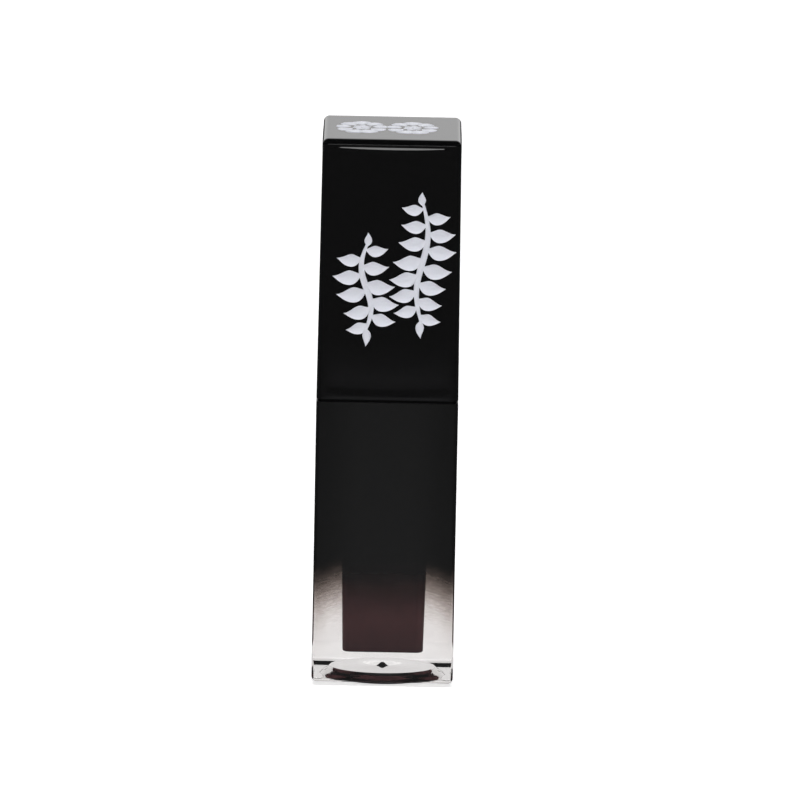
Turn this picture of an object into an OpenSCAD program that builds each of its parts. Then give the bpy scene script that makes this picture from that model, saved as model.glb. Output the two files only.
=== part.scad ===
// Square liquid-lipstick case: a thick clear bottle with a welded-in neck, a screw cap and a wand.
// Millimetres. +Z is up, the origin is the centre of the base, and the front faces -Y.

/* [Body] */
// Width and depth of the square bottle, and of the cap at its mouth
body_w = 19; // [18.5:0.1:20]
// Height of the clear bottle
bottle_h = 38.6; // [36:0.2:44]
// Dark gap between the bottle and the cap
seam_gap = 0.3; // [0.2:0.05:0.6]
// Height of the cap's outer shell
cap_h = 35.3; // [34:0.1:42]
// Radius of the long edges and of the outer ends
edge_r = 0.8; // [0.5:0.05:1]
// Radius of the bottle's four upright edges
side_r = 0.5; // [0.3:0.05:0.8]
// How much narrower the cap is at its top than at its mouth
cap_taper = 0.5; // [0.1:0.1:0.8]

/* [Bottle base] */
// Clear plastic under the product
base_t = 3.7; // [3:0.1:5]
// Diameter of the ceiling of the round recess in the base
recess_d = 14.2; // [12:0.1:14.6]
// Height of that recess
recess_h = 1.1; // [0.6:0.1:1.5]
// Diameter of the moulding-gate pit in the middle of the recess
gate_d = 2.1; // [1:0.1:2.5]

/* [Cavity] */
// Width of the square cavity at its floor
cavity_w = 10.8; // [10.4:0.1:11.2]
// Draft of each side of the cavity, in degrees
cavity_draft = 1.2; // [0.5:0.1:1.4]
// Height of the product above the cavity's floor
fill_h = 28; // [15:1:29]

/* [Closure] */
// Diameter of the neck between its threads
neck_d = 11.6; // [11.4:0.1:11.8]
// Bore of the neck, which holds the wiper
neck_bore = 9.2; // [8.8:0.1:9.4]
// Height of the neck above the bottle
neck_h = 12; // [11:0.5:13]
// Number of thread starts, one for each side of the cap
thread_starts = 4; // [2:1:4]
// Axial distance between neighbouring threads
thread_pitch = 2; // [1.9:0.05:2.1]
// Part of a turn that each thread covers, in degrees
thread_arc = 120; // [90:10:150]

/* [Wand] */
// Diameter of the rod
rod_d = 3.3; // [2.8:0.1:3.4]
// Diameter of the flocked tip
tip_d = 3.7; // [3.4:0.1:3.8]
// Length of the flocked tip
tip_len = 14; // [10:1:16]
// Diameter of the wiper's opening
orifice_d = 3.95; // [3.9:0.05:4.2]

/* [Hidden] */
$fn = 72;

thin = 0.01;           // thickness of a slice that a hull starts from
slip = 0.05;           // clearance between pieces that are pushed together
close = 0.02;          // clearance of a press or a glued fit, each side
hull_fn = 32;

// Bottle and neck
rim_r = 0.12;          // edge of the bottle's top and of the cap's mouth
recess_flare = 1.35;   // how much wider the recess is at its mouth, each side
gate_h = 0.5;
flange_w = 14.4;       // square flange of the neck, let into the bottle's top
flange_t = 0.95;
flange_z = bottle_h - slip - flange_t;
cavity_top_w = cavity_w + 2 * (flange_z - base_t) * tan(cavity_draft);
cavity_r = 1.1;        // long edges of the cavity
plug_h = 3.2;          // part of the neck that goes down into the cavity
plug_lead = 0.3;       // how much narrower the plug is at its foot, each side
neck_top = bottle_h + neck_h;

// Collar
collar_w = body_w - 0.4;
collar_t = seam_gap - slip;
boss_d = 15.2;
boss_h = 1.35;

// Threads
lead = thread_starts * thread_pitch;
thread_depth = 0.65;
thread_root = 1.1;     // axial width at the root
thread_crest = 0.55;   // axial width at the crest
thread_bury = 0.15;    // how far a thread's root lies inside its wall
thread_step = 7.5;     // degrees between the rings of a thread
thread_z = bottle_h + 3.2;
run_out = 20;          // degrees over which a thread rises from its wall

// Cap
cap_z = bottle_h + seam_gap;
cap_top = cap_z + cap_h;
shell_wall = 1.5;
shell_w = body_w - 2 * shell_wall;
shell_r = 0.6;
shell_top_t = 2;
skirt_z = bottle_h + 1.9;
skirt_d = 15.6;
skirt_bore = neck_d + 2 * thread_depth + 0.3;
wiper_flange_t = 0.6;
gasket_t = 0.8;
ceiling_z = neck_top + wiper_flange_t + gasket_t;
ceiling_t = 1.5;
stem_d = 8.2;          // boss of the inner cap that grips the rod
stem_top = ceiling_z + 8.5;
spigot_d = 4.6;        // top end of the rod
spigot_h = 7.5;
drive_w = shell_w - 2 * close;
rib_t = 1.6;
weight_d = 14.8;
weight_bore = stem_d + 0.1;
weight_z = ceiling_z + ceiling_t + slip;
weight_h = 7;
stay_t = 1;            // plates inside the shell that hold the weight down

// Wand
tip_z = base_t + 1.2;
tip_top = tip_z + tip_len;
rod_flange_d = 6.4;
rod_flange_t = 0.9;
shank_d = 1.8;
shank_h = 5;
flock_t = 0.35;
channel_d = orifice_d + 0.2;   // way that the wand leaves in the product
doe_cut = 12;          // slope of the tip's flat, in degrees
wiper_wall = 0.55;

function ramp(a, total) = min(1, a / run_out, (total - a) / run_out);

// Points of one helical thread: a trapezium carried up a right-hand helix, growing out of its wall.
// side is 1 for a thread on a shaft and -1 for one in a bore.
function thread_points(r, side, z, start) = [
    for (a = [0 : thread_step : thread_arc])
        let (
            grow = max(0.05, ramp(a, thread_arc)),
            tip = r + side * thread_depth * grow,
            root = r - side * thread_bury,
            turn = start + a,
            mid = z + lead * a / 360
        )
        for (p = [[root, -thread_root / 2], [tip, -thread_crest / 2],
                  [tip, thread_crest / 2], [root, thread_root / 2]])
            [p[0] * cos(turn), p[0] * sin(turn), mid + p[1]]
];

module thread(r, side, z, start) {
    points = thread_points(r, side, z, start);
    last = len(points) - 4;
    sides = [
        for (i = [0 : 4 : last - 4])
            for (k = [0 : 3])
                let (a = i + k, b = i + (k + 1) % 4)
                    for (face = [[a, b, b + 4], [a, b + 4, a + 4]]) face
    ];
    ends = [[0, 2, 1], [0, 3, 2], [last, last + 1, last + 2], [last, last + 2, last + 3]];
    faces = concat(sides, ends);
    polyhedron(points, [for (f = faces) side > 0 ? f : [f[2], f[1], f[0]]], convexity = 4);
}

module threads(r, side, z) {
    for (k = [0 : thread_starts - 1]) thread(r, side, z, k * 360 / thread_starts);
}

module at_corners(w) {
    for (x = [-1, 1], y = [-1, 1]) translate([x * w / 2, y * w / 2, 0]) children();
}

// A square with rounded corners, from true arcs.
module round_square(w, r) {
    square([w, w - 2 * r], center = true);
    square([w - 2 * r, w], center = true);
    at_corners(w - 2 * r) circle(r);
}

module prism(w, r, z, h) {
    translate([0, 0, z]) linear_extrude(h) round_square(w, r);
}

module tube(d, bore, z, h) {
    translate([0, 0, z]) difference() {
        cylinder(d = d, h = h);
        translate([0, 0, -1]) cylinder(d = bore, h = h + 2);
    }
}

// A square box whose width goes from w0 at z0 to w1 at z1, with rounded long edges.
module drafted(w0, w1, r, z0, z1) {
    hull() {
        translate([0, 0, z0]) at_corners(w0 - 2 * r) cylinder(r = r, h = thin, $fn = hull_fn);
        translate([0, 0, z1 - thin]) at_corners(w1 - 2 * r) cylinder(r = r, h = thin, $fn = hull_fn);
    }
}

// Outer form of the bottle: round at the foot, with a small edge at the top.
module bottle_form() {
    hull() {
        for (a = [0 : 10 : 90])
            translate([0, 0, edge_r * (1 - cos(a))]) square_slice(
                body_w - 2 * edge_r * (1 - sin(a)),
                max(side_r - edge_r * (1 - sin(a)), 0.05));
        translate([0, 0, bottle_h - rim_r - thin]) square_slice(body_w, side_r);
        translate([0, 0, bottle_h - thin]) square_slice(body_w - 2 * rim_r, side_r - rim_r);
    }
}

// A very thin rounded square, for hulls
module square_slice(width, radius) {
    at_corners(width - 2 * radius) cylinder(r = radius, h = thin, $fn = hull_fn);
}

module bottle() {
    color([0.93, 0.93, 0.92, 0.35]) difference() {
        bottle_form();
        drafted(cavity_w, cavity_top_w, cavity_r, base_t, flange_z + thin);
        prism(flange_w + 2 * slip, cavity_r, flange_z - slip, flange_t + 1);
        translate([0, 0, -recess_flare]) cylinder(
            r1 = recess_d / 2 + recess_flare * (1 + recess_flare / recess_h),
            r2 = recess_d / 2, h = recess_h + recess_flare);
        translate([0, 0, recess_h - thin]) cylinder(d1 = gate_d, d2 = gate_d / 4, h = gate_h);
    }
}

module neck() {
    plug_z = flange_z - plug_h;
    plug_w = cavity_top_w - 2 * plug_h * tan(cavity_draft) - 2 * close;
    color([0.9, 0.9, 0.9, 0.5]) difference() {
        union() {
            drafted(plug_w - 2 * plug_lead, plug_w, cavity_r, plug_z, plug_z + 0.6);
            drafted(plug_w, cavity_top_w - 2 * close, cavity_r, plug_z + 0.6 - thin, flange_z + 0.1);
            prism(flange_w, cavity_r, flange_z, flange_t);
            translate([0, 0, flange_z]) cylinder(d = neck_d, h = neck_top - flange_z);
            threads(neck_d / 2, 1, thread_z);
        }
        translate([0, 0, plug_z - 1]) cylinder(d = neck_bore, h = neck_top);
    }
}

module lipstick_fill() {
    fill_top_w = cavity_w + 2 * fill_h * tan(cavity_draft);
    color([0.2, 0.1, 0.11]) difference() {
        drafted(cavity_w - 2 * close, fill_top_w - 2 * close, cavity_r, base_t + close, base_t + fill_h);
        translate([0, 0, tip_z - 0.3]) cylinder(d = channel_d, h = fill_h);
    }
}

module wiper() {
    tube_r = neck_bore / 2 - close;
    lip_z = neck_top - 11;
    cone_z = neck_top - 7.5;
    inner_r = tube_r - wiper_wall;
    color([0.92, 0.92, 0.9]) rotate_extrude() polygon([
        [orifice_d / 2, lip_z],
        [orifice_d / 2 + wiper_wall, lip_z],
        [tube_r, cone_z],
        [tube_r, neck_top],
        [neck_d / 2 - 0.2, neck_top],
        [neck_d / 2 - 0.2, neck_top + wiper_flange_t - 0.15],
        [neck_d / 2 - 0.35, neck_top + wiper_flange_t],
        [inner_r + 0.3, neck_top + wiper_flange_t],
        [inner_r, neck_top + wiper_flange_t - 0.3],
        [inner_r, cone_z + 0.3],
        [orifice_d / 2, lip_z + 0.8]
    ]);
}

module collar() {
    color([0.03, 0.03, 0.03]) difference() {
        union() {
            prism(collar_w, side_r, bottle_h, collar_t);
            translate([0, 0, bottle_h]) cylinder(d = boss_d, h = collar_t + boss_h - 0.2);
            translate([0, 0, bottle_h + collar_t + boss_h - 0.2])
                cylinder(d1 = boss_d, d2 = boss_d - 0.4, h = 0.2);
        }
        translate([0, 0, bottle_h - 1]) cylinder(d = neck_d + 2 * close, h = 5);
    }
}

module gasket() {
    color([0.85, 0.85, 0.82])
        tube(neck_d - 0.4, rod_flange_d + 0.8, neck_top + wiper_flange_t + close, gasket_t - 2 * close);
}

// Outer form of the cap: a small edge at the mouth, round at the top, and slightly narrower there.
module cap_form() {
    hull() {
        translate([0, 0, cap_z]) at_corners(body_w - 2 * edge_r)
            cylinder(r1 = edge_r - rim_r, r2 = edge_r, h = rim_r, $fn = hull_fn);
        translate([0, 0, cap_top - edge_r]) at_corners(body_w - cap_taper - 2 * edge_r)
            sphere(edge_r, $fn = hull_fn);
    }
}

module cap_shell() {
    stay_z = weight_z + weight_h + slip;
    color([0.02, 0.02, 0.022]) difference() {
        cap_form();
        difference() {
            prism(shell_w, shell_r, cap_z - 1, cap_h - shell_top_t + 1);
            for (turn = [0, 90]) rotate(turn)
                translate([-shell_w, -stay_t / 2, stay_z]) cube([2 * shell_w, stay_t, cap_h]);
        }
    }
}

module inner_cap() {
    top = ceiling_z + ceiling_t;
    color([0.06, 0.06, 0.06]) difference() {
        union() {
            translate([0, 0, skirt_z]) cylinder(d = skirt_d, h = top - skirt_z);
            prism(drive_w, shell_r, ceiling_z, ceiling_t);
            intersection() {
                prism(drive_w, shell_r, skirt_z + 1, ceiling_z - skirt_z);
                for (turn = [45, 135]) rotate(turn)
                    translate([0, 0, top / 2]) cube([2 * drive_w, rib_t, 2 * top], center = true);
            }
            translate([0, 0, ceiling_z]) cylinder(d = stem_d, h = stem_top - ceiling_z);
        }
        difference() {
            translate([0, 0, skirt_z - 1]) cylinder(d = skirt_bore, h = ceiling_z - skirt_z + 1);
            threads(skirt_bore / 2, -1, thread_z + thread_pitch / 2);
        }
        translate([0, 0, skirt_z - thin])
            cylinder(d1 = skirt_bore + 0.6, d2 = skirt_bore, h = 0.3);
        translate([0, 0, ceiling_z - thin]) cylinder(d = spigot_d, h = spigot_h + 0.1);
    }
}

module cap_weight() {
    chamfer = 0.3;
    r = weight_d / 2;
    bore_r = weight_bore / 2;
    top = weight_z + weight_h;
    color([0.55, 0.55, 0.57]) rotate_extrude() polygon([
        [bore_r, weight_z + chamfer], [bore_r + chamfer, weight_z],
        [r - chamfer, weight_z], [r, weight_z + chamfer],
        [r, top - chamfer], [r - chamfer, top],
        [bore_r + chamfer, top], [bore_r, top - chamfer]
    ]);
}

module wand_rod() {
    seat = ceiling_z - close;
    low = seat - rod_flange_t;
    color([0.05, 0.05, 0.05]) difference() {
        rotate_extrude() polygon([
            [0, tip_top], [rod_d / 2 - 0.2, tip_top], [rod_d / 2, tip_top + 0.3],
            [rod_d / 2, low - 2], [rod_flange_d / 2 - 0.7, low - 0.4],
            [rod_flange_d / 2, low], [rod_flange_d / 2, seat],
            [spigot_d / 2 - close, seat], [spigot_d / 2 - close, seat + spigot_h - 0.5],
            [spigot_d / 2 - 0.4, seat + spigot_h], [0, seat + spigot_h]
        ]);
        translate([0, 0, tip_top - 1]) cylinder(d = shank_d, h = shank_h + 1);
    }
}

// A doe-foot: a round-ended stick with a long flat down its front.
module doe_foot(d, z, h, flat_y) {
    difference() {
        union() {
            translate([0, 0, z + d / 2]) sphere(d = d);
            translate([0, 0, z + d / 2]) cylinder(d = d, h = h - d / 2);
        }
        translate([0, flat_y, z]) rotate([doe_cut, 0, 0])
            translate([-d, -2 * d, -tip_len]) cube([2 * d, 2 * d, 2 * tip_len]);
    }
}

module tip_core() {
    color([0.75, 0.72, 0.7]) {
        doe_foot(tip_d - 2 * flock_t - 2 * close, tip_z + flock_t + close, tip_len - flock_t - 2 * close,
                 flock_t + close);
        translate([0, 0, tip_top - 1]) cylinder(d = shank_d - 2 * close, h = shank_h + 0.8);
    }
}

module tip_flock() {
    color([0.35, 0.18, 0.18]) difference() {
        doe_foot(tip_d, tip_z, tip_len - close, 0);
        doe_foot(tip_d - 2 * flock_t, tip_z + flock_t, tip_len, flock_t);
    }
}

bottle();
neck();
lipstick_fill();
wiper();
collar();
gasket();
cap_shell();
inner_cap();
cap_weight();
wand_rod();
tip_core();
tip_flock();
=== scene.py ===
# %% [markdown]
# # A square liquid-lipstick case
# A glossy black cap screws onto a thick clear bottle. Black lacquer covers the bottle and thins out
# near its foot, so that the burgundy product and the clear base show. This script draws the surfaces
# that are seen from outside in fine detail, gives every inner piece its own finish, and lights the
# case on a pale floor. All sizes in the tables are millimetres, and meshes are built in metres.

# %% Load the frame
import math

import bpy
import numpy as np
from mathutils import Matrix, Vector


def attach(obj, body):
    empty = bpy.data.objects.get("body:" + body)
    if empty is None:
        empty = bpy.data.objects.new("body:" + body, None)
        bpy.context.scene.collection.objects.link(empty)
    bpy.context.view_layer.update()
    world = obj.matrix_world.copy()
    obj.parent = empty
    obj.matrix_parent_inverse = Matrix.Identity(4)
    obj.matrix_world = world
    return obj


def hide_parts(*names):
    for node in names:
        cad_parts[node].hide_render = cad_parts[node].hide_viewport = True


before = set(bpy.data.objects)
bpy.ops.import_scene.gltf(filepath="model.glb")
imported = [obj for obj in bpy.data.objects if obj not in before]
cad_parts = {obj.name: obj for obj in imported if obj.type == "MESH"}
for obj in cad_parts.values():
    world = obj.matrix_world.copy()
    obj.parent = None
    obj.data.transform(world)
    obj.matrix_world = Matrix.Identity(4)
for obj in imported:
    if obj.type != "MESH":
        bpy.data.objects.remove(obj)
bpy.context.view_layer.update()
MM = 0.001
rng = np.random.default_rng(19)
print("frame pieces:", ", ".join(sorted(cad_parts)))

# %% [markdown]
# ## Measures of the case
# These are the figures that the solids were made from, repeated here because a surface that replaces
# a solid has to fill the same space. Widths and diameters end in _W and _D, heights in _H, and a name
# that ends in _Z or _TOP is a height above the foot.

# %% Measures
BODY_W = 19.0
BOTTLE_H = 38.6
SEAM = 0.3
CAP_Z = BOTTLE_H + SEAM
CAP_TOP = CAP_Z + 35.3
CAP_TOP_W = 18.5
EDGE_R = 0.8
SIDE_R = 0.5
CAVITY_FLOOR = 3.7
CAVITY_W = 10.8
DRAFT = math.tan(math.radians(1.2))
POCKET_Z = 37.55
CAVITY_R = 1.1
CAVITY_FLOOR_R = 0.3
FILL_TOP = 31.7
TIP_Z = 4.9
RIM_R = 0.12
FOOT_W = 17.35
POCKET_W = 14.5
RECESS_H = 1.1
RECESS_D = 14.2
RECESS_FLARE = 1.35
GATE_TOP = 1.6
HOLLOW_W = 16.0
print("the case is", BODY_W, "mm wide and", round(CAP_TOP, 2), "mm tall")

# %% [markdown]
# ## Cross-sections cut by rays
# The bottle, the product and the cap are all square outside and partly round inside. They could be
# cubes with bevels and cut-outs, but cut-outs leave ragged edges that show in clear plastic. Here each
# surface is a stack of cross-sections, rounded squares and circles about the long axis, and each is
# sampled where one fixed fan of rays cuts it. So a square and a circle join without a twist. The rays
# crowd at the four corners, where the curvature is.

# %% Fan of rays
def fan():
    """Angles of the rays in radians: every 3 degrees on the sides, every 0.3 near the corners."""
    quarter = np.concatenate([np.linspace(-36, 36, 24, endpoint=False),
                              np.linspace(36, 54, 60, endpoint=False)])
    return np.radians(np.concatenate([quarter + 90 * k for k in range(4)]))


RAYS = fan()
print("rays in the fan:", len(RAYS))


def section(width, radius, z):
    """Points where the rays cut a square of that width whose corners have that radius.

    A ray d leaves the flat side at t = (width / 2) / max(|dx|, |dy|). Where that point lies in the
    corner, t solves |t d - k| = radius with k the centre of the corner's arc.
    """
    d = np.stack([np.cos(RAYS), np.sin(RAYS)], 1)
    a = np.abs(d)
    half = width / 2
    t = half / a.max(1)
    k = half - min(radius, half)
    along = a.sum(1) * k
    inside = np.maximum(along ** 2 - 2 * k * k + min(radius, half) ** 2, 0)
    t = np.where(t * a.min(1) > k, along + np.sqrt(inside), t)
    return np.column_stack([d * t[:, None], np.full(len(RAYS), z)])


def round_at(diameter, z):
    """One row of a profile that is a circle."""
    return (diameter, diameter / 2, z)


# %% [markdown]
# ## From a profile to a mesh
# A profile is a list of rows (width, corner radius, height). The rows are joined by quads, and the
# first and last rows are closed by a fan to a point on the axis. A bevel modifier could round the
# edges, but a rounded edge that is part of the profile keeps its exact radius everywhere. Long flat
# sides stay flat-shaded beside it, because edges sharper than 30 degrees are split.

# %% Mesh builders
def add_mesh(name, points, faces, smooth=True):
    """A mesh object in the scene, from points in millimetres."""
    mesh = bpy.data.meshes.new(name)
    mesh.from_pydata((np.asarray(points) * MM).tolist(), [], faces)
    mesh.validate()
    if smooth:
        mesh.shade_smooth()
        mesh.set_sharp_from_angle(angle=math.radians(30))
    obj = bpy.data.objects.new(name, mesh)
    bpy.context.scene.collection.objects.link(obj)
    return obj


def skin(rows, first_pole=None, last_pole=None):
    """Points and faces of the surface through the rows, with its ends closed at the given heights."""
    loops = [section(*row) for row in rows]
    n = len(RAYS)
    points = np.concatenate(loops)
    i = np.arange(n)
    j = (i + 1) % n
    faces = []
    for k in range(len(loops) - 1):
        low, high = k * n, (k + 1) * n
        faces += np.stack([low + i, low + j, high + j, high + i], 1).tolist()
    if first_pole is not None:
        points = np.vstack([points, [0, 0, first_pole]])
        faces += np.stack([np.full(n, len(points) - 1), j, i], 1).tolist()
    if last_pole is not None:
        points = np.vstack([points, [0, 0, last_pole]])
        last = (len(loops) - 1) * n
        faces += np.stack([last + i, last + j, np.full(n, len(points) - 1)], 1).tolist()
    return points, faces


def arc_rows(width, corner, radius, z, start, stop, steps=10):
    """Rows of a rounded edge. width and corner are those of the wall that the edge runs into.

    At angle a the wall is drawn in by radius * (1 - cos a), and the height is z + radius * sin a.
    """
    rows = []
    for a in np.radians(np.linspace(start, stop, steps)):
        inset = radius * (1 - math.cos(a))
        rows.append((width - 2 * inset, max(corner - inset, 0.02), z + radius * math.sin(a)))
    return rows


# %% [markdown]
# ## The bottle
# The real bottle is one thick clear moulding. What is seen at its foot is refraction: the round
# recess under it, and the small pit that the moulding gate left, show dark because their sides turn
# the light away. Two nested shells would be quicker to make, but light would meet a wrong order of
# walls in them. So the bottle is one closed surface, from the pit outwards over the recess, the foot
# and the outer walls, then down the pocket for the neck and the square cavity to its floor. The side
# of the recess is a cone that is eased by a few hundredths, steeper near its inner edge.

# %% Bottle: the underside
def cavity_width(z):
    """Width of the cavity at a height, from its draft."""
    return CAVITY_W + 2 * (z - CAVITY_FLOOR) * DRAFT


def recess_rows(steps=15, ease=0.06):
    """Rows of the recess's side: height falls as 1 - t, eased by a sine that dies out at the mouth."""
    rows = []
    for t in np.linspace(0, 1, steps):
        eased = t + ease * math.sin(2 * math.pi * t) * (1 - t ** 6)
        rows.append(round_at(RECESS_D + 2 * RECESS_FLARE * t, RECESS_H * (1 - eased)))
    return rows


gate_pit = ((0.3, GATE_TOP), (0.62, 1.5), (1.0, 1.34), (1.5, 1.18), (2.0, 1.105))
under_rows = [round_at(*row) for row in gate_pit]
under_rows += [round_at(2.1, RECESS_H), round_at(13.8, RECESS_H)]
under_rows += recess_rows()
print("rows under the bottle:", len(under_rows))

# %% Bottle: outside, pocket and cavity
bottle_rows = under_rows + [(FOOT_W, 0.02, 0.0)]
bottle_rows += arc_rows(BODY_W, SIDE_R, EDGE_R, EDGE_R, -90, 0, 14)
bottle_rows += [(BODY_W, SIDE_R, z) for z in (0.9, 4, 8, 12, 16, 20, 26, 32, 38.2)]
bottle_rows += arc_rows(BODY_W, SIDE_R, RIM_R, BOTTLE_H - RIM_R, 0, 90, 6)
bottle_rows += [(18.6, 0.35, BOTTLE_H), (POCKET_W + 0.06, CAVITY_R, BOTTLE_H)]
bottle_rows += [(POCKET_W, CAVITY_R, BOTTLE_H - 0.04), (POCKET_W, CAVITY_R, POCKET_Z + 0.02)]
bottle_rows += [(POCKET_W - 0.06, CAVITY_R, POCKET_Z), (cavity_width(POCKET_Z) + 0.1, CAVITY_R, POCKET_Z)]
bottle_rows += [(cavity_width(z), CAVITY_R, z) for z in (37.5, 30, 22, 14, 8, 4.1)]
bottle_rows += arc_rows(cavity_width(CAVITY_FLOOR + CAVITY_FLOOR_R), CAVITY_R, CAVITY_FLOOR_R,
                        CAVITY_FLOOR + CAVITY_FLOOR_R, 0, -90, 8)
bottle = add_mesh("bottle_clear", *skin(bottle_rows, GATE_TOP, CAVITY_FLOOR))
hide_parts("bottle")
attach(bottle, "bottle")
print("bottle:", len(bottle.data.polygons), "faces")

# %% [markdown]
# ## The product
# The dark column in the bottle is thick liquid. If its surface stopped short of the cavity's walls,
# the thin gap of air would mirror the surroundings and the column would look silvery. A real liquid
# wets the walls, so its surface is placed just outside them: light then passes from the plastic
# straight to the product. Its top curves up at the walls, and the wand's well is left open.

# %% Product
WET = 0.02
WELL_D = 4.15
fill_top_w = cavity_width(FILL_TOP)
fill_rows = [(CAVITY_W - 0.6, 0.8, CAVITY_FLOOR - WET)]
fill_rows += arc_rows(cavity_width(CAVITY_FLOOR + CAVITY_FLOOR_R) + 2 * WET, CAVITY_R, CAVITY_FLOOR_R + WET,
                      CAVITY_FLOOR + CAVITY_FLOOR_R, -84, 0, 8)
fill_rows += [(cavity_width(z) + 2 * WET, CAVITY_R, z) for z in (4.1, 10, 18, 26, FILL_TOP - 0.02)]
fill_rows += [(fill_top_w - 0.1, 1.05, FILL_TOP), (fill_top_w - 0.5, 0.95, FILL_TOP - 0.18)]
fill_rows += [(fill_top_w - 1.2, 0.9, FILL_TOP - 0.3), (8, 2.5, FILL_TOP - 0.36)]
well = ((4.7, FILL_TOP - 0.38), (4.25, FILL_TOP - 0.5), (WELL_D, FILL_TOP - 0.8), (WELL_D, 20),
        (WELL_D, TIP_Z + 0.4), (3.6, TIP_Z - 0.1), (2.2, TIP_Z - 0.26))
fill_rows += [round_at(*row) for row in well]
product = add_mesh("product", *skin(fill_rows, CAVITY_FLOOR - WET, TIP_Z - 0.3))
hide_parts("lipstick_fill")
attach(product, "bottle")
print("product:", len(product.data.polygons), "faces")

# %% [markdown]
# ## The cap's shell
# The cap's shell is a moulded square tube, closed at the top and lacquered. Lacquer runs thin on a
# sharp edge and gathers just beside it, and on a glossy black wall such a bead shows as a thin bright
# line though it is only a few hundredths of a millimetre thick. A bump texture could fake it, but a
# bump doesn't change the exported mesh. So the wall itself is moved out by a formula, near the top
# edge and near the mouth.

# %% Lacquer beads on the cap's wall
def cap_width(z):
    """Width of the cap's wall at a height, without the lacquer's swelling."""
    return BODY_W + (CAP_TOP_W - BODY_W) * (z - CAP_Z) / (CAP_TOP - CAP_Z)


def ramp(z, low, high):
    """Eased from 0 at low to 1 at high."""
    t = np.clip((z - low) / (high - low), 0, 1)
    return t * t * (3 - 2 * t)


BEAD_SLOPE = 0.144
BEAD_FLANK = 0.34
BEAD_HALF_LENGTH = 8.0
FOOT_BEAD = 0.045
LIP_INSET = 0.016


def swell(points):
    """The points of the wall moved out where the lacquer gathers.

    Near the top there is one bead: from a millimetre down it comes out at a fixed slope, along a flank
    that shortens like an ellipse towards the corners, and then it sinks back. Near the mouth the wall
    sinks in slowly from five millimetres up, comes out again within a millimetre as a bead that sags
    in the middle of each side, and is drawn in a little at the lip. All fade out at the upright edges,
    and only the outer wall moves.
    """
    z = points[:, 2]
    moved = points.copy()
    for axis, other in ((0, 1), (1, 0)):
        across = np.abs(points[:, other])
        on_side = (np.abs(points[:, axis]) > across) & (np.abs(points[:, axis]) > 9.0)
        sag = 0.5 * (1 - (across / (BODY_W / 2)) ** 2)
        down = CAP_TOP - z
        flank = BEAD_FLANK * np.sqrt(np.clip(1 - (across / BEAD_HALF_LENGTH) ** 2, 0, 1))
        bead = BEAD_SLOPE * np.clip(down - 1.0, 0, flank) * (1 - ramp(down, 1.45, 2.9))
        up = z - CAP_Z + sag
        foot = FOOT_BEAD * (1 - ramp(up, 0.95, 1.95)) - FOOT_BEAD * (1 - ramp(up, 1.9, 5.5))
        foot = foot - LIP_INSET * (1 - ramp(z - CAP_Z, 0.12, 0.44))
        rise = (bead + foot) * (1 - ramp(across, 6.6, 8.8))
        moved[:, axis] += np.where(on_side, np.sign(points[:, axis]) * rise, 0)
    return moved


print("bead under the top edge stands out", round(BEAD_SLOPE * BEAD_FLANK, 3), "mm")

# %% [markdown]
# The shell's profile runs from the ceiling inside, down the hollow, round the mouth and up the outer
# wall. Rows lie closest where the wall swells, and two crossed plates inside hold the weight down.

# %% Cap shell
def wall_row(z):
    """One row of the cap's outer wall."""
    return (cap_width(z), EDGE_R, z)


cap_rows = [round_at(6, CAP_TOP - 2), (15.8, 0.5, CAP_TOP - 2)]
cap_rows += [(HOLLOW_W, 0.6, z) for z in (CAP_TOP - 2.1, CAP_Z + 20, CAP_Z + 8, CAP_Z + 0.02)]
cap_rows += [(HOLLOW_W + 0.06, 0.62, CAP_Z), (18.6, 0.6, CAP_Z)]
cap_rows += arc_rows(BODY_W, EDGE_R, RIM_R, CAP_Z + RIM_R, -90, 0, 6)
cap_rows += [wall_row(z) for z in np.linspace(CAP_Z + 0.16, CAP_Z + 3.2, 44)]
cap_rows += [wall_row(z) for z in np.linspace(CAP_Z + 5, CAP_TOP - 5, 8)]
cap_rows += [wall_row(z) for z in np.linspace(CAP_TOP - 3.2, CAP_TOP - 1.5, 14)]
cap_rows += [wall_row(z) for z in np.linspace(CAP_TOP - 1.42, CAP_TOP - EDGE_R - 0.02, 22)]
cap_rows += arc_rows(CAP_TOP_W + 0.02, EDGE_R, EDGE_R, CAP_TOP - EDGE_R, 0, 90, 14)
cap_rows += [(16.6, 0.3, CAP_TOP), (10, 1, CAP_TOP), round_at(4, CAP_TOP)]
cap_points, cap_faces = skin(cap_rows, CAP_TOP - 2, CAP_TOP)
cap_points = swell(cap_points)


def box_faces(low, high, base):
    """Points and outward faces of a box."""
    (a, b, c), (d, e, f) = low, high
    points = [(x, y, z) for z in (c, f) for y in (b, e) for x in (a, d)]
    faces = [(0, 2, 3, 1), (4, 5, 7, 6), (0, 1, 5, 4), (2, 6, 7, 3), (0, 4, 6, 2), (1, 3, 7, 5)]
    return points, [[base + v for v in face] for face in faces]


PLATE_HALF_T = 0.5
PLATE_REACH = HOLLOW_W / 2 + 0.02
PLATE_Z = 60.7
PLATE_TOP = CAP_TOP - 1.9
for half_x, half_y in ((PLATE_REACH, PLATE_HALF_T), (PLATE_HALF_T, PLATE_REACH)):
    low = (-half_x, -half_y, PLATE_Z)
    high = (half_x, half_y, PLATE_TOP)
    more_points, more_faces = box_faces(low, high, len(cap_points))
    cap_points = np.vstack([cap_points, more_points])
    cap_faces = cap_faces + more_faces
cap = add_mesh("cap_black", cap_points, cap_faces)
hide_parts("cap_shell")
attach(cap, "cap")
print("cap:", len(cap.data.polygons), "faces")

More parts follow.
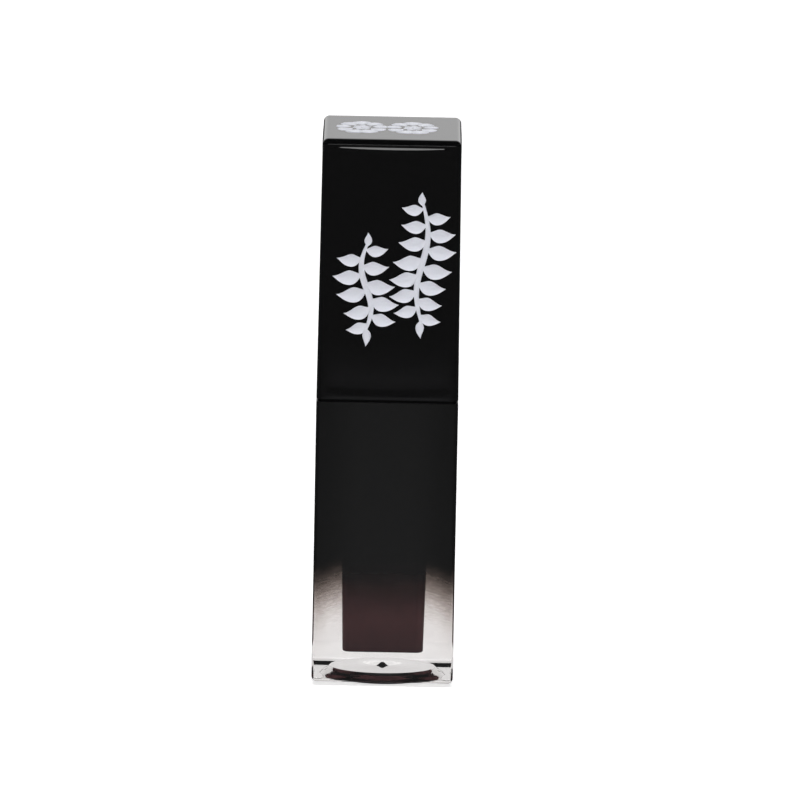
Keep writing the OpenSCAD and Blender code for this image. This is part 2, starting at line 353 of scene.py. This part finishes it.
# %% [markdown]
# ## The printed ornament
# A screen print in thick white ink decorates the cap: two leafy sprays down the front and two
# blossoms on the top. It could be a picture on the cap, but a picture is flat and blurs close up.
# Here every leaf, stem and petal is one stroke, a ribbon along a path whose width swells and fades,
# raised in its middle as ink stands when it dries.

# %% Strokes
def bend(start, heading, length, turn, steps=18):
    """Path that starts at a point and turns steadily: heading and total turn in degrees."""
    a = np.radians(heading + turn * np.linspace(0, 1, steps))
    step = length / (steps - 1)
    moves = np.stack([np.cos(a), np.sin(a)], 1) * step
    return np.asarray(start) + np.vstack([[0, 0], np.cumsum(moves[:-1], 0)])


def leaf_width(steps, widest, peak=0.42):
    """Width along a leaf: nothing at both ends and widest at the peak."""
    t = np.linspace(0, 1, steps)
    s = np.where(t < peak, t / peak, (1 - t) / (1 - peak))
    return widest * np.sin(s * math.pi / 2) ** 1.3 + 0.03


def ribbon(path, widths, height=0.02):
    """Points (u, v, rise) and faces of a stroke with a raised middle."""
    run = np.gradient(path, axis=0)
    run = run / np.linalg.norm(run, axis=1)[:, None]
    side = np.stack([-run[:, 1], run[:, 0]], 1) * (widths / 2)[:, None]
    n = len(path)
    flat = np.vstack([path + side, path, path - side])
    rise = np.concatenate([np.zeros(n), np.full(n, height), np.zeros(n)]) + 0.006
    points = np.column_stack([flat, rise])
    first = (np.arange(2)[:, None] * n + np.arange(n - 1)).ravel()
    faces = np.stack([first, first + n, first + n + 1, first + 1], 1).tolist()
    return points, faces


# %% [markdown]
# Leaves and petals are the same kind of stroke and differ only in how the width runs along them. A
# spray sets leaves by turns on both sides of a bent stem, and a blossom sets petals in two rings.

# %% Leaves, petals, sprays and blossoms
def leaf(start, heading, length, widest, turn=35):
    """A leaf as a stroke that swells and comes to a point."""
    path = bend(start, heading, length, turn)
    return ribbon(path, leaf_width(len(path), widest))


def petal(start, heading, length, widest):
    """A petal as a straight stroke with a round end."""
    path = bend(start, heading, length, 0)
    t = np.linspace(0, 1, len(path))
    return ribbon(path, widest * np.sqrt(np.sin(math.pi * np.clip(t ** 1.4, 0.004, 0.996))))


def spray(x, top, bottom, sway, flip):
    """A stem that hangs from the top with alternate leaves, as a list of strokes."""
    strokes = []
    t = np.linspace(0, 1, 60)
    stem = np.column_stack([x + flip * sway * np.sin(t * 2 * math.pi), top + (bottom - top) * t])
    strokes.append(ribbon(stem, 0.35 + 0.5 * np.sin(t * math.pi)))
    leaf_gap = 1.12
    count = int(round((top - bottom) / leaf_gap))
    for k in range(count):
        along = (k + 0.6) / (count + 0.4)
        side = flip if k % 2 else -flip
        size = 1 - 0.32 * abs(2 * along - 1) ** 1.5
        heading = -90 + side * (70 - 22 * along)
        strokes.append(leaf(stem[int(along * 59)], heading, 4.3 * size, 2.05 * size, side * 48))
    strokes.append(leaf(stem[-1] + [0, 0.4], -90 - flip * 14, 2.6, 1.1, flip * 28))
    strokes.append(leaf(stem[0] + [0, -0.3], 90 + flip * 16, 2.0, 1.0, -flip * 26))
    return strokes


def blossom(x, half_x, half_y):
    """A round blossom as a list of strokes: an outer and an inner ring of petals."""
    strokes = []
    for count, start, end, wide in ((9, 0.42, 1.0, 0.60), (6, 0.04, 0.36, 0.26)):
        for k in range(count):
            a = math.radians(360 * (k + 0.25) / count)
            aim = np.array([half_x * math.cos(a), half_y * math.sin(a)])
            reach = np.linalg.norm(aim)
            heading = math.degrees(math.atan2(aim[1], aim[0]))
            root = [x + start * aim[0], start * aim[1]]
            strokes.append(petal(root, heading, (end - start) * reach, wide * reach))
    return strokes


def gather(strokes):
    """One set of points and faces from many strokes."""
    points, faces, base = [], [], 0
    for p, f in strokes:
        points.append(p)
        faces += [[base + v for v in face] for face in f]
        base += len(p)
    return np.vstack(points), faces


# %% [markdown]
# The strokes are drawn flat, in (u, v), and then laid on the cap: on the front they follow its
# sloping wall, and on the top they lie on its flat end. Solidify turns each film into closed ink.

# %% Ornament on the cap
front, front_faces = gather(spray(4.3, 65.6, 49.6, 0.7, 1) + spray(-3.1, 60.0, 48.4, 0.7, -1))
wall_y = -cap_width(front[:, 1]) / 2
front_points = np.column_stack([front[:, 0], wall_y - front[:, 2], front[:, 1]])
print("front ornament spans", np.round(front_points.min(0), 1), np.round(front_points.max(0), 1))
front_print = add_mesh("ornament_front", front_points, front_faces)
top, top_faces = gather(blossom(-3.4, 3.5, 4.4) + blossom(3.4, 3.5, 4.4))
top_points = np.column_stack([top[:, 0] - 0.7, top[:, 1], CAP_TOP + top[:, 2]])
top_print = add_mesh("ornament_top", top_points, top_faces)
for obj in (front_print, top_print):
    film = obj.modifiers.new("ink film", "SOLIDIFY")
    film.thickness = 0.03 * MM
    film.offset = -1.0
    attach(obj, "cap")
    print(obj.name, len(obj.data.polygons), "faces")

# %% [markdown]
# ## Flock on the applicator
# The applicator's tip is flocked: short nylon fibres stand in glue all over it. A particle system
# could grow them, but the export keeps only meshes. So each fibre is a thin closed spike with three
# sides, set on a random spot of the tip's surface and leaning a little off its normal.

# %% Spots for the fibres
def surface_spots(obj, count):
    """Random points and normals on the outside of a mesh, spread by area, in metres.

    In a triangle a, b, c the point is a (1 - r) + b r (1 - s) + c r s, with r the root of a random
    number and s another. Faces that look inwards get none, unless they face steeply down.
    """
    mesh = obj.data
    mesh.calc_loop_triangles()
    flat = np.empty(3 * len(mesh.vertices), np.float32)
    mesh.vertices.foreach_get("co", flat)
    v = flat.reshape(-1, 3).astype(float)
    corners = np.empty(3 * len(mesh.loop_triangles), np.int32)
    mesh.loop_triangles.foreach_get("vertices", corners)
    tri = corners.reshape(-1, 3)
    a, b, c = v[tri[:, 0]], v[tri[:, 1]], v[tri[:, 2]]
    cross = np.cross(b - a, c - a)
    area = np.linalg.norm(cross, axis=1) / 2
    middle = (a + b + c) / 3
    axis_point = np.column_stack([np.zeros(len(middle)), np.zeros(len(middle)), middle[:, 2]])
    outward = np.einsum("ij,ij->i", cross, middle - axis_point) > 0
    below = cross[:, 2] < -0.3 * 2 * area
    area = np.where(outward | below, area, 0)
    pick = rng.choice(len(tri), count, p=area / area.sum())
    r1, r2 = np.sqrt(rng.random(count)), rng.random(count)
    spot = (a[pick].T * (1 - r1) + b[pick].T * (r1 * (1 - r2)) + c[pick].T * (r1 * r2)).T
    normal = cross[pick] / (2 * area[pick])[:, None]
    return spot, normal


FIBRES = 9000
LEAN = 0.28

# %% Flock fibres
spots, normals = surface_spots(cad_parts["tip_flock"], FIBRES)
tilt = normals + rng.normal(0, LEAN, normals.shape)
tilt = tilt / np.linalg.norm(tilt, axis=1)[:, None]
across = np.cross(tilt, [0.3, 0.5, 0.81])
across = across / np.linalg.norm(across, axis=1)[:, None]
third = np.cross(tilt, across)
length = rng.uniform(0.07, 0.11, len(spots))[:, None] * MM
thick = 0.018 * MM
fibre_points = np.concatenate([spots + across * thick, spots - across * thick / 2 + third * thick,
                               spots - across * thick / 2 - third * thick, spots + tilt * length]) / MM
q = np.arange(FIBRES)
one, two, three, tip = q, q + FIBRES, q + 2 * FIBRES, q + 3 * FIBRES
sides = [np.stack([one, two, tip], 1), np.stack([two, three, tip], 1), np.stack([three, one, tip], 1)]
fibre_faces = np.concatenate(sides + [np.stack([one, three, two], 1)]).tolist()
fibres = add_mesh("flock_fibres", fibre_points, fibre_faces, smooth=False)
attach(fibres, "cap")
print("fibres:", FIBRES)

# %% [markdown]
# ## Shader arithmetic
# A finish is a network of nodes. Wired by hand, even 1 - mask takes three lines, and the formula is
# lost in the wiring. A thin wrapper round a socket lets shader values be added and multiplied like
# numbers instead, so that each finish below reads as a formula.

# %% Shader wrapper
class Val:
    """A shader value: a socket in a node tree, with arithmetic."""

    def __init__(self, tree, socket):
        self.tree = tree
        self.socket = socket

    def math(self, operation, *others):
        """A Math node of any kind, with this value first."""
        node = self.tree.nodes.new("ShaderNodeMath")
        node.operation = operation
        for slot, value in zip(node.inputs, (self,) + others):
            if isinstance(value, Val):
                self.tree.links.new(value.socket, slot)
            else:
                slot.default_value = value
        return Val(self.tree, node.outputs[0])

    def __add__(self, other):
        return self.math("ADD", other)

    def __mul__(self, other):
        return self.math("MULTIPLY", other)

    def __sub__(self, other):
        return self.math("SUBTRACT", other)

    def __truediv__(self, other):
        return self.math("DIVIDE", other)

    def __rsub__(self, other):
        return (self * -1.0) + other

    __radd__ = __add__
    __rmul__ = __mul__

    def smooth(self, low, high):
        """Eased from 0 at low to 1 at high."""
        t = ((self - low) / (high - low)).math("MAXIMUM", 0.0).math("MINIMUM", 1.0)
        return t * t * (3.0 - 2.0 * t)


# %% [markdown]
# A finish is then one object that owns its material. It makes any node in one call, from the node's
# type, its settings and its inputs, and it gives the point being shaded in millimetres.

# %% Finish builder
class Finish:
    """A material being built: a Principled shader and the nodes that feed it."""

    def __init__(self, name):
        self.material = bpy.data.materials.new(name)
        self.material.use_nodes = True
        self.tree = self.material.node_tree
        self.tree.nodes.clear()
        self.out = self.tree.nodes.new("ShaderNodeOutputMaterial")
        self.coords = self.tree.nodes.new("ShaderNodeTexCoord")

    def node(self, kind, settings=None, **inputs):
        """Any shader node, with its settings and inputs by name (underscores for spaces)."""
        node = self.tree.nodes.new(kind)
        for key, value in (settings or {}).items():
            setattr(node, key, value)
        for key, value in inputs.items():
            slot = node.inputs[key.replace("_", " ")]
            if isinstance(value, Val):
                self.tree.links.new(value.socket, slot)
            elif hasattr(value, "is_output"):
                self.tree.links.new(value, slot)
            else:
                slot.default_value = value
        return node

    def point(self):
        """The shaded point in millimetres."""
        scaled = self.node("ShaderNodeVectorMath", {"operation": "SCALE"},
                           Vector=self.coords.outputs["Object"], Scale=1 / MM)
        return scaled.outputs[0]

    def axes(self, point):
        """X, Y and Z of a point."""
        parts = self.node("ShaderNodeSeparateXYZ", Vector=point)
        return [Val(self.tree, parts.outputs[k]) for k in range(3)]

    def noise(self, vector, scale, detail=3.0, rough=0.5):
        """Noise between 0 and 1 at a point in millimetres."""
        node = self.node("ShaderNodeTexNoise", Vector=vector, Scale=scale, Detail=detail, Roughness=rough)
        return Val(self.tree, node.outputs[0])

    def mix_colour(self, factor, one, two):
        """A colour between two, by a factor. Each is a colour or another node's output."""
        node = self.node("ShaderNodeMix", {"data_type": "RGBA"})
        self.tree.links.new(factor.socket, node.inputs[0])
        for slot, colour in ((node.inputs[6], one), (node.inputs[7], two)):
            if hasattr(colour, "is_output"):
                self.tree.links.new(colour, slot)
            else:
                slot.default_value = (*colour, 1.0)
        return node.outputs[2]

    def bump(self, height, distance):
        """A normal bent by a height in the range 0 to 1, distance in millimetres."""
        node = self.node("ShaderNodeBump", Strength=1.0, Distance=distance * MM, Height=height)
        return node.outputs[0]

    def principled(self, **inputs):
        """A Principled shader."""
        return self.node("ShaderNodeBsdfPrincipled", **inputs)

    def show(self, shader):
        """Sends a shader to the output and returns the material."""
        self.tree.links.new(shader.outputs[0], self.out.inputs[0])
        return self.material


def dress(obj, material):
    """Gives an object one material."""
    obj.data.materials.clear()
    obj.data.materials.append(material)


# %% [markdown]
# ## Clear plastic and its lacquer
# The bottle is sprayed with black lacquer from above, so its cover falls from full to none over about
# ten millimetres. It reaches lower at the corners than in the middle of a side, it ends in fine uneven
# streaks, and a thin overspray greys the plastic below it, except next to the foot. One half-clear
# shader would let the black part glow. So two finishes are mixed by the cover: clear plastic, tinted
# by the thin spray, and satin black. The satin's colour carries a painted reflection of the lamp: it is
# lighter in the middle of each side and darker towards the upright edges. Only the outer walls take
# any cover.

# %% Bottle finish
def lacquered_plastic():
    """Clear plastic where there is no lacquer, black satin where there is."""
    f = Finish("clear plastic, lacquer fade")
    point = f.point()
    x, y, z = f.axes(point)
    nearest = x.math("ABSOLUTE").math("MINIMUM", y.math("ABSOLUTE"))
    outside = x.math("ABSOLUTE").math("MAXIMUM", y.math("ABSOLUTE")).math("GREATER_THAN", 9.0)
    lower_at_corner = 1.3 * nearest.smooth(5.0, 9.5)
    slanted = z + (x.math("ABSOLUTE") + y) * 0.3
    ripple_at = f.node("ShaderNodeCombineXYZ", X=x * 0.9, Y=y * 0.9, Z=slanted * 3.4)
    ripple = f.noise(ripple_at.outputs[0], 1.3, 3.0, 0.55)
    streak = f.noise(point, 0.25, 2.0)
    ripple_size = 0.6 + 2.0 * nearest.smooth(4.8, 5.6)
    height = z + lower_at_corner + (streak - 0.5) * 1.2 + (ripple - 0.5) * ripple_size
    fade = height.smooth(7.8, 17.7)
    haze = height.smooth(4.5, 11.0) * 0.07 + nearest.smooth(7.0, 9.4) * z.smooth(2.0, 9.0) * 0.1
    cover = (fade + (1.0 - fade) * haze) * outside
    bare = (1.0 - z.smooth(0.8, 4.4)) * (1.0 - nearest.smooth(4.0, 9.0) * 0.55)
    overspray = f.mix_colour(bare, (0.645, 0.622, 0.615), (0.96, 0.945, 0.94))
    smoke = f.mix_colour(cover, overspray, (0.645, 0.429, 0.332))
    clear = f.principled(Base_Color=smoke, Roughness=0.0, IOR=1.57, Transmission_Weight=1.0)
    speck = f.noise(point, 9.0, 2.0)
    # Painted reflection: the satin's colour is lighter in the middle of each side and darker towards the
    # upright edges, standing in for the lamp's sheen. The speck noise is the lacquer's own uneven tone.
    middle = 1.0 - nearest.smooth(3.0, 9.3) * 0.75
    shade = f.mix_colour(speck * 0.35 + middle * 0.65, (0.0026, 0.0026, 0.0027), (0.0110, 0.0110, 0.0113))
    satin = f.principled(Base_Color=shade, Roughness=0.34, IOR=1.5, Specular_IOR_Level=0.36,
                         Normal=f.bump(speck, 0.006))
    both = f.node("ShaderNodeMixShader", Fac=cover)
    f.tree.links.new(clear.outputs[0], both.inputs[1])
    f.tree.links.new(satin.outputs[0], both.inputs[2])
    return f.show(both)


dress(bottle, lacquered_plastic())

# %% [markdown]
# ## The other finishes
# The cap's lacquer is almost perfectly smooth, with the faintest orange peel. The ink is a cool, nearly
# matt white. The product is deep burgundy, with painted shade: its colour is darker towards the bottom,
# where less light reaches it.
# Each could be one plain colour, but a plain colour looks like a computer's, so noise at the scale of
# the real unevenness shifts each one a little.

# %% Cap, ink and product
def gloss_black():
    """Deep black lacquer with a faint orange peel."""
    f = Finish("black gloss lacquer")
    peel = f.noise(f.point(), 0.8, 2.0)
    shader = f.principled(Base_Color=(0.0032, 0.0032, 0.0034, 1.0), Roughness=0.06, IOR=1.5,
                          Normal=f.bump(peel, 0.004))
    return f.show(shader)


def white_ink():
    """Cool white screen-printing ink, slightly uneven."""
    f = Finish("white ink")
    patch = f.noise(f.point(), 6.0, 3.0)
    shade = f.mix_colour(patch, (0.84, 0.86, 0.95), (0.90, 0.91, 0.98))
    shader = f.principled(Base_Color=shade, Roughness=0.45)
    return f.show(shader)


def burgundy():
    """Thick dark burgundy product, with faint swirls of a redder tone."""
    f = Finish("burgundy product")
    point = f.point()
    z = f.axes(point)[2]
    swirl = f.noise(point, 0.5, 4.0, 0.6)
    shade = f.mix_colour(swirl, (0.098, 0.040, 0.042), (0.138, 0.056, 0.060))
    # Painted shade: the product's colour falls to near black at the cavity floor and darkens over the
    # lowest few millimetres, where less light reaches it.
    lit = 0.5 * z.smooth(3.7, 3.9) + 0.5 * z.smooth(3.0, 9.5)
    shader = f.principled(Base_Color=f.mix_colour(lit, (0.012, 0.008, 0.008), shade), Roughness=0.4,
                          Specular_IOR_Level=0.05)
    return f.show(shader)


ink = white_ink()
dress(cap, gloss_black())
dress(front_print, ink)
dress(top_print, ink)
dress(product, burgundy())
print("outer finishes:", len(bpy.data.materials))

# %% [markdown]
# Inside are the neck, wiper, washer, liner, weight, rod and tip. They are seen when the cap is off, or
# through the plastic. Each could have a material of its own design, but they are alike in kind: two
# close shades mixed by noise, and a light texture. One function makes them all, from a few numbers.

# %% Inner pieces
def moulded(name, one, two, rough, scale=2.0, height=0.004, **more):
    """A moulded or formed piece: two close shades by noise, and a light texture."""
    f = Finish(name)
    patch = f.noise(f.point(), scale, 3.0)
    shader = f.principled(Base_Color=f.mix_colour(patch, one, two), Roughness=patch * 0.1 + rough,
                          Normal=f.bump(patch, height), **more)
    return f.show(shader)


finishes = {
    "neck": moulded("natural neck plastic", (0.72, 0.72, 0.70), (0.80, 0.80, 0.78), 0.3),
    "wiper": moulded("soft wiper plastic", (0.76, 0.76, 0.73), (0.82, 0.82, 0.79), 0.45),
    "collar": moulded("black satin collar", (0.002, 0.002, 0.002), (0.003, 0.003, 0.003), 0.35,
                      Specular_IOR_Level=0.15),
    "gasket": moulded("foam gasket", (0.66, 0.66, 0.62), (0.76, 0.76, 0.72), 0.85, 14.0, 0.03),
    "inner_cap": moulded("black inner cap", (0.012, 0.012, 0.012), (0.02, 0.02, 0.02), 0.4),
    "cap_weight": moulded("tumbled steel", (0.42, 0.42, 0.43), (0.52, 0.52, 0.53), 0.3, 5.0, 0.01,
                          Metallic=1.0),
    "wand_rod": moulded("black rod", (0.012, 0.012, 0.012), (0.018, 0.018, 0.018), 0.2),
    "tip_core": moulded("soft tip core", (0.55, 0.50, 0.47), (0.62, 0.57, 0.54), 0.6),
    "tip_flock": moulded("stained flock", (0.16, 0.05, 0.055), (0.24, 0.08, 0.085), 0.9, 12.0, 0.03),
}
for name, material in finishes.items():
    dress(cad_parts[name], material)
dress(fibres, finishes["tip_flock"])
print("finishes:", len(bpy.data.materials))

# %% [markdown]
# ## Stage
# A pale floor runs back to a bright backdrop, with bright walls far to each side and in front. Clear
# plastic shows whatever light passes through it, while black gloss shows whatever it mirrors, and one
# room can't suit both. So the walls at the sides and in front are hidden from reflections: the foot
# stays bright and the black faces stay black. A small dark disc under the foot is its contact shade.

# %% Floor, backdrop and lamps
def card(name, corners, colour, glow):
    """A flat card with a plain finish, part of the stage."""
    mesh = bpy.data.meshes.new(name)
    mesh.from_pydata(corners, [], [tuple(range(len(corners)))])
    obj = bpy.data.objects.new(name, mesh)
    bpy.context.scene.collection.objects.link(obj)
    f = Finish(name)
    shader = f.principled(Base_Color=(*colour, 1.0), Roughness=0.9, Emission_Color=(1.0, 1.0, 1.0, 1.0),
                          Emission_Strength=glow)
    obj.data.materials.append(f.show(shader))
    return obj


LOW = -0.0004
FAR = 1.8
WALL_H = 2.4
SHADE_R = 0.0089
PALE = (0.86, 0.86, 0.86)
DARK = (0.02, 0.02, 0.02)


def floor_corners(z, back=FAR):
    """Corners of a level card as wide as the stage."""
    return [(-FAR, -FAR, z), (FAR, -FAR, z), (FAR, back, z), (-FAR, back, z)]


def wall_corners(start, end):
    """Corners of a wall that stands between two points of the floor."""
    return [(*start, 0), (*end, 0), (*end, WALL_H), (*start, WALL_H)]


ring = np.radians(np.arange(0, 360, 6))
shade_ring = np.column_stack([SHADE_R * np.cos(ring), SHADE_R * np.sin(ring), np.full(len(ring), LOW / 2)])
card("floor", floor_corners(LOW), PALE, 0.68)
card("contact_shade", shade_ring.tolist(), DARK, 0.0)
card("backdrop", wall_corners((-FAR, FAR), (FAR, FAR)), DARK, 0.92)
WALL_GLOW = 0.9
hidden_walls = []
for x in (-FAR, FAR):
    hidden_walls.append(card("side_wall", wall_corners((x, -FAR), (x, FAR)), DARK, WALL_GLOW))
hidden_walls.append(card("front_wall", wall_corners((-FAR, -FAR), (FAR, -FAR)), DARK, WALL_GLOW))
for wall in hidden_walls:
    wall.visible_glossy = False
    wall.visible_diffuse = False
print("cards on the stage:", 3 + len(hidden_walls))

# %% [markdown]
# A white floor would be mirrored all over the black cap. In a studio a black sheet lies before a
# glossy object to stop that. Here the sheet is a mat between the floor and the foot that only
# reflections can see. It glows faintly, more so near the case, so that the beads of lacquer on the cap
# show as darker and lighter bands.

# %% Reflection mat
mat = card("reflection_mat", floor_corners(LOW / 4, FAR - 0.01), DARK, 0.0)
mat_finish = Finish("mat that brightens near the case")
mat_x, mat_y = mat_finish.axes(mat_finish.point())[:2]
ahead_of_case = mat_y * -1.0
in_front = 1.0 - ahead_of_case.smooth(100.0, 270.0)
near = in_front * (1.0 - mat_x.math("ABSOLUTE").smooth(3.0, 50.0)) * ahead_of_case.smooth(0.0, 20.0)
mat_glow = mat_finish.mix_colour(near, (0.045, 0.045, 0.046), (0.24, 0.24, 0.25))
mat_shader = mat_finish.principled(Base_Color=(*DARK, 1.0), Roughness=0.9, Emission_Color=mat_glow,
                                   Emission_Strength=1.0)
dress(mat, mat_finish.show(mat_shader))
mat.visible_camera = False
mat.visible_diffuse = False
mat.visible_transmission = False
mat.visible_shadow = False
print("mat:", mat.name)

# %% [markdown]
# One soft lamp above and a little in front gives the top its grey and shapes the ink. A narrow bright
# strip far in front is what the bead under the cap's top edge catches, as a thin line of light.

# %% Lamp, strip and world
def lamp(name, place, target, width, height, power):
    """A rectangular soft lamp that faces a point."""
    light = bpy.data.lights.new(name, "AREA")
    light.shape = "RECTANGLE"
    light.size, light.size_y = width, height
    light.energy = power
    obj = bpy.data.objects.new(name, light)
    obj.location = place
    obj.rotation_euler = (Vector(target) - Vector(place)).to_track_quat("-Z", "Y").to_euler()
    bpy.context.scene.collection.objects.link(obj)
    return obj


top_lamp = lamp("top_lamp", (0.0, -0.15, 0.9), (0, 0, 0.03), 0.7, 0.5, 5.6)
top_lamp.visible_glossy = False
strip_corners = [(-0.3, -1.7, 0.24), (0.3, -1.7, 0.24), (0.3, -1.7, 0.30), (-0.3, -1.7, 0.30)]
card("strip", strip_corners, DARK, 5.0)
world = bpy.data.worlds.new("dark room")
world.use_nodes = True
world.node_tree.nodes["Background"].inputs[0].default_value = (0.012, 0.012, 0.013, 1.0)
bpy.context.scene.world = world
bpy.context.scene.view_settings.view_transform = "Standard"
print("stage ready")

# %% [markdown]
# ## Camera
# The case stands almost without perspective, so it is seen from far off through a long lens, from
# 1.33 m and looking down by twelve degrees. A closer camera with a shorter lens would frame it too,
# but it would taper the sides. The camera leans by a degree, and the case is a little left of the
# middle.

# %% Camera
DISTANCE = 1.3314
ELEVATION = math.radians(11.911)
TILT = math.radians(1.088)
LENS = 445.17
SHIFT = (0.01584, -0.00026)
TARGET = Vector((0, 0, 0.037))
eye = TARGET + DISTANCE * Vector((0, -math.cos(ELEVATION), math.sin(ELEVATION)))
ahead = (TARGET - eye).normalized()
level = Vector((1, 0, 0))
upward = level.cross(ahead)
right = level * math.cos(TILT) + upward * math.sin(TILT)
over = upward * math.cos(TILT) - level * math.sin(TILT)
camera_data = bpy.data.cameras.new("camera")
camera_data.sensor_width = 36.0
camera_data.lens = LENS
camera_data.shift_x, camera_data.shift_y = SHIFT
camera_data.clip_end = 20.0
camera = bpy.data.objects.new("camera", camera_data)
turn = Matrix((right, over, -ahead)).transposed().to_4x4()
camera.matrix_world = Matrix.Translation(eye) @ turn
bpy.context.scene.collection.objects.link(camera)
bpy.context.scene.camera = camera
print("camera at", np.round(eye, 3), "m")
